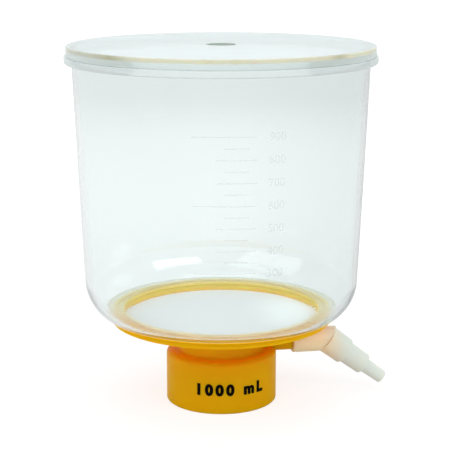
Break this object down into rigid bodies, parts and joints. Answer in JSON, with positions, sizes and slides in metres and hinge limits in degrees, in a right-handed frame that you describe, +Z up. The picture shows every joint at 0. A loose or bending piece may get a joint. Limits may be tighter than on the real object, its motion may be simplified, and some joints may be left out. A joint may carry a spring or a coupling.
{
  "type": "bottle-top vacuum filter",
  "caption": "Clear covered funnel welded to a yellow threaded base with a filter membrane and an angled hose connector, for filtering under vacuum into a bottle.",
  "frame": {"origin": "centre of the bottle neck's mouth, in the plane of the skirt's foot that the filter stands on", "axes": "+Z up along the axis of the neck, membrane and funnel; +X along the vacuum port, away from the neck; -Y is the printed front"},
  "size_m": [0.1417, 0.1324, 0.1563],
  "materials": {
    "clear_lid": "clear moulded polystyrene",
    "clear_funnel": "clear moulded polystyrene",
    "membrane": "matt white polymer membrane",
    "yellow_base": "semi-gloss amber yellow moulded plastic",
    "gasket": "translucent white silicone rubber",
    "natural_connector": "translucent unpigmented polypropylene"
  },
  "bodies": {
    "filter": {"funnel": "clear_funnel", "membrane": "membrane", "base": "yellow_base", "bottle_gasket": "gasket"},
    "lid": {"lid": "clear_lid"},
    "connector": {"hose_connector": "natural_connector"}
  },
  "joints": [
    {"name": "lid_lift", "type": "slide", "parent": "filter", "child": "lid", "axis": [0, 0, 1], "range_m": [0, 0.08]},
    {"name": "connector_swivel", "type": "hinge", "parent": "filter", "child": "connector", "pos_m": [0.037, 0, 0.0243], "axis": [1, 0, 0], "continuous": true}
  ]
}
